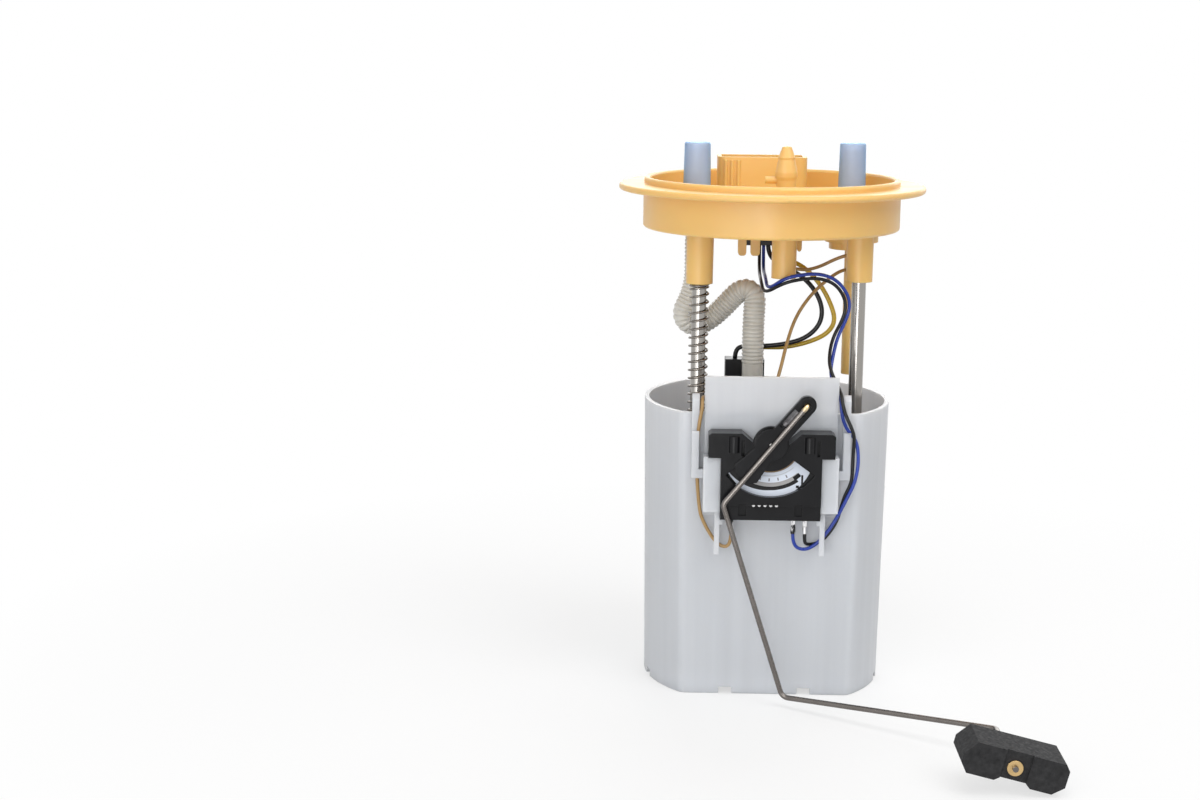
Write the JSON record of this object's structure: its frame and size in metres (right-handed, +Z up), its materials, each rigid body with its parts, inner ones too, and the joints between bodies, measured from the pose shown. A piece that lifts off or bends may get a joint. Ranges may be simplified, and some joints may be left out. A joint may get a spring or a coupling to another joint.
{
  "type": "fuel pump module",
  "caption": "In-tank fuel pump module: sprung plastic flange on guide rods over a reservoir cup with electric pump, hose, wiring and a level sender with float arm.",
  "frame": {"origin": "centre of the reservoir cup's base, on the surface it stands on", "axes": "+Z up to the flange, -Y towards the level sender and the float, +X to the right seen from the sender's side"},
  "size_m": [0.1854, 0.2312, 0.2496],
  "materials": {
    "white_plastic": "satin",
    "sender_black": "gloss",
    "card_ceramic": "satin",
    "track_carbon": "satin",
    "silver_contact": "polished",
    "terminal_tin": "satin",
    "pin_steel": "polished",
    "amber_plastic": "gloss",
    "plug_black": "satin",
    "cap_blue": "translucent gloss",
    "rod_steel": "polished",
    "bush_plastic": "satin",
    "clip_steel": "satin",
    "spring_steel": "satin",
    "wire_steel": "satin",
    "wiper_brass": "satin",
    "float_foam": "matte",
    "damper_rubber": "matte",
    "can_steel": "satin",
    "pump_black": "satin",
    "cover_aluminium": "satin",
    "strainer_cloth": "woven",
    "magnet_ferrite": "matte",
    "armature_steel": "satin",
    "commutator_copper": "satin",
    "brush_carbon": "matte",
    "impeller_plastic": "satin",
    "valve_rubber": "matte",
    "screen_plastic": "satin",
    "hose_plastic": "translucent satin",
    "insulation_blue": "gloss",
    "insulation_black": "gloss",
    "insulation_brown": "gloss",
    "insulation_yellow": "gloss"
  },
  "bodies": {
    "reservoir": {"reservoir_cup": "white_plastic", "inlet_screen": "screen_plastic", "inlet_valve": "valve_rubber", "sender_bracket": "white_plastic", "sender_housing": "sender_black", "resistor_card": "card_ceramic", "resistor_tracks": "track_carbon", "sender_test_pads": "silver_contact", "sender_terminals": "terminal_tin", "pivot_pin": "pin_steel", "guide_bush_left": "bush_plastic", "guide_bush_right": "bush_plastic", "coil_spring": "spring_steel", "pump_holder": "white_plastic", "pump_damper_lower": "damper_rubber", "pump_damper_upper": "damper_rubber", "pump_can": "can_steel", "pump_head": "pump_black", "carbon_brushes": "brush_carbon", "pump_inlet_cover": "cover_aluminium", "inlet_strainer": "strainer_cloth", "motor_magnets": "magnet_ferrite", "feed_hose": "hose_plastic", "sender_wire_blue": "insulation_blue", "sender_wire_black": "insulation_black", "sender_wire_brown": "insulation_brown", "pump_wire_black": "insulation_black", "pump_wire_yellow": "insulation_yellow"},
    "flange": {"flange": "amber_plastic", "contact_blades": "wiper_brass", "inner_plug": "plug_black", "guide_rod_left": "rod_steel", "guide_rod_right": "rod_steel", "rod_circlip_left": "clip_steel", "rod_circlip_right": "clip_steel"},
    "feed_cap": {"feed_cap": "cap_blue"},
    "return_cap": {"return_cap": "cap_blue"},
    "float_arm": {"float_lever": "sender_black", "wiper_contact": "wiper_brass", "arm_wire": "wire_steel", "float_push_nut": "wiper_brass", "float_collar": "wire_steel"},
    "float": {"float": "float_foam"},
    "pump_rotor": {"armature": "armature_steel", "commutator": "commutator_copper", "rotor_shaft": "rod_steel", "impeller": "impeller_plastic"}
  },
  "joints": [
    {"name": "flange_slide", "type": "slide", "parent": "reservoir", "child": "flange", "axis": [0, 0, 1], "range_m": [-0.03, 0], "stiffness_N_per_m": 200, "springref_m": 0.03, "deforming": ["coil_spring", "feed_hose", "sender_wire_blue", "sender_wire_black", "sender_wire_brown", "pump_wire_black", "pump_wire_yellow"]},
    {"name": "arm_hinge", "type": "hinge", "parent": "reservoir", "child": "float_arm", "pos_m": [-0.0005, -0.054, 0.1202], "axis": [0, -1, 0], "range_deg": [0, 75]},
    {"name": "float_turn", "type": "hinge", "parent": "float_arm", "child": "float", "pos_m": [0.0935, -0.149, 0.012], "axis": [0, -1, 0], "continuous": true},
    {"name": "feed_cap_slide", "type": "slide", "parent": "flange", "child": "feed_cap", "axis": [0, 0, 1], "range_m": [0, 0.03]},
    {"name": "return_cap_slide", "type": "slide", "parent": "flange", "child": "return_cap", "axis": [0, 0, 1], "range_m": [0, 0.03]},
    {"name": "rotor_spin", "type": "hinge", "parent": "reservoir", "child": "pump_rotor", "pos_m": [-0.01, 0.009, 0.065], "axis": [0, 0, 1], "continuous": true}
  ]
}
